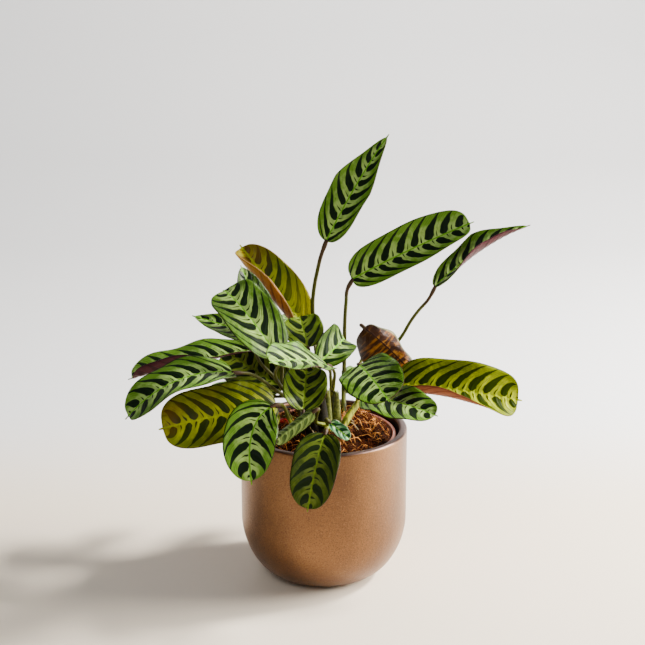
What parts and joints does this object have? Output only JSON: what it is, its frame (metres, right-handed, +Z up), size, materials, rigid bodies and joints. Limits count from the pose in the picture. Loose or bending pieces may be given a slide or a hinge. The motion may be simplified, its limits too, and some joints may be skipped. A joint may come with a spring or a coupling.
{
  "type": "potted ctenanthe",
  "caption": "House plant with banded oval leaves on slender petioles, in coir soil in a nursery pot inside a rounded copper-coloured pot.",
  "frame": {"origin": "centre of the pot's flat underside, on the surface that it stands on", "axes": "+Z up; the picture's camera looks along +Y, so -Y is the front and +X is the picture's right"},
  "size_m": [0.3584, 0.23, 0.3983],
  "materials": {
    "copper": "speckled copper-bronze paint, satin, dark inside",
    "nursery_plastic": "thin terracotta-pink plastic",
    "coir": "loose brown coir fibre",
    "green_stem": "olive-green sheath",
    "dark_stem": "dark olive-brown petiole",
    "leaf_green": "satin leaf, dark green bands on light green",
    "leaf_yellow": "satin leaf, dark green bands on yellow-green",
    "leaf_shaded": "satin leaf, dark green bands on mid green"
  },
  "bodies": {
    "root": {"pot": "copper", "nursery_pot": "nursery_plastic", "soil": "coir", "shoot_middle": "green_stem", "shoot_right": "green_stem", "shoot_dark": "dark_stem", "shoot_back": "dark_stem", "shoot_left": "dark_stem", "shoot_front_left": "green_stem", "shoot_front": "green_stem", "shoot_back_left": "dark_stem", "leaf_top": "leaf_green", "leaf_high_middle": "leaf_green", "leaf_high_right": "leaf_green", "leaf_high_left": "leaf_yellow", "leaf_left_face": "leaf_green", "leaf_left_behind_low": "leaf_green", "leaf_left_behind_high": "leaf_green", "leaf_left_upper": "leaf_green", "leaf_left_lower": "leaf_green", "leaf_left_yellow": "leaf_yellow", "leaf_front_left": "leaf_green", "leaf_front": "leaf_shaded", "leaf_right_yellow": "leaf_yellow", "leaf_right_low": "leaf_green", "leaf_front_right": "leaf_green", "leaf_middle_right": "leaf_green", "leaf_middle_flat": "leaf_green", "leaf_middle_low": "leaf_shaded", "leaf_middle_back": "leaf_shaded", "leaf_right_drooping": "leaf_green", "leaf_left_shaded": "leaf_shaded", "leaf_new_front": "leaf_green", "leaf_new_rolled": "leaf_green", "leaf_back_right": "leaf_green", "leaf_back_left": "leaf_green", "leaf_back_high": "leaf_green", "leaf_back_low": "leaf_green", "leaf_back_middle": "leaf_green"}
  },
  "joints": []
}
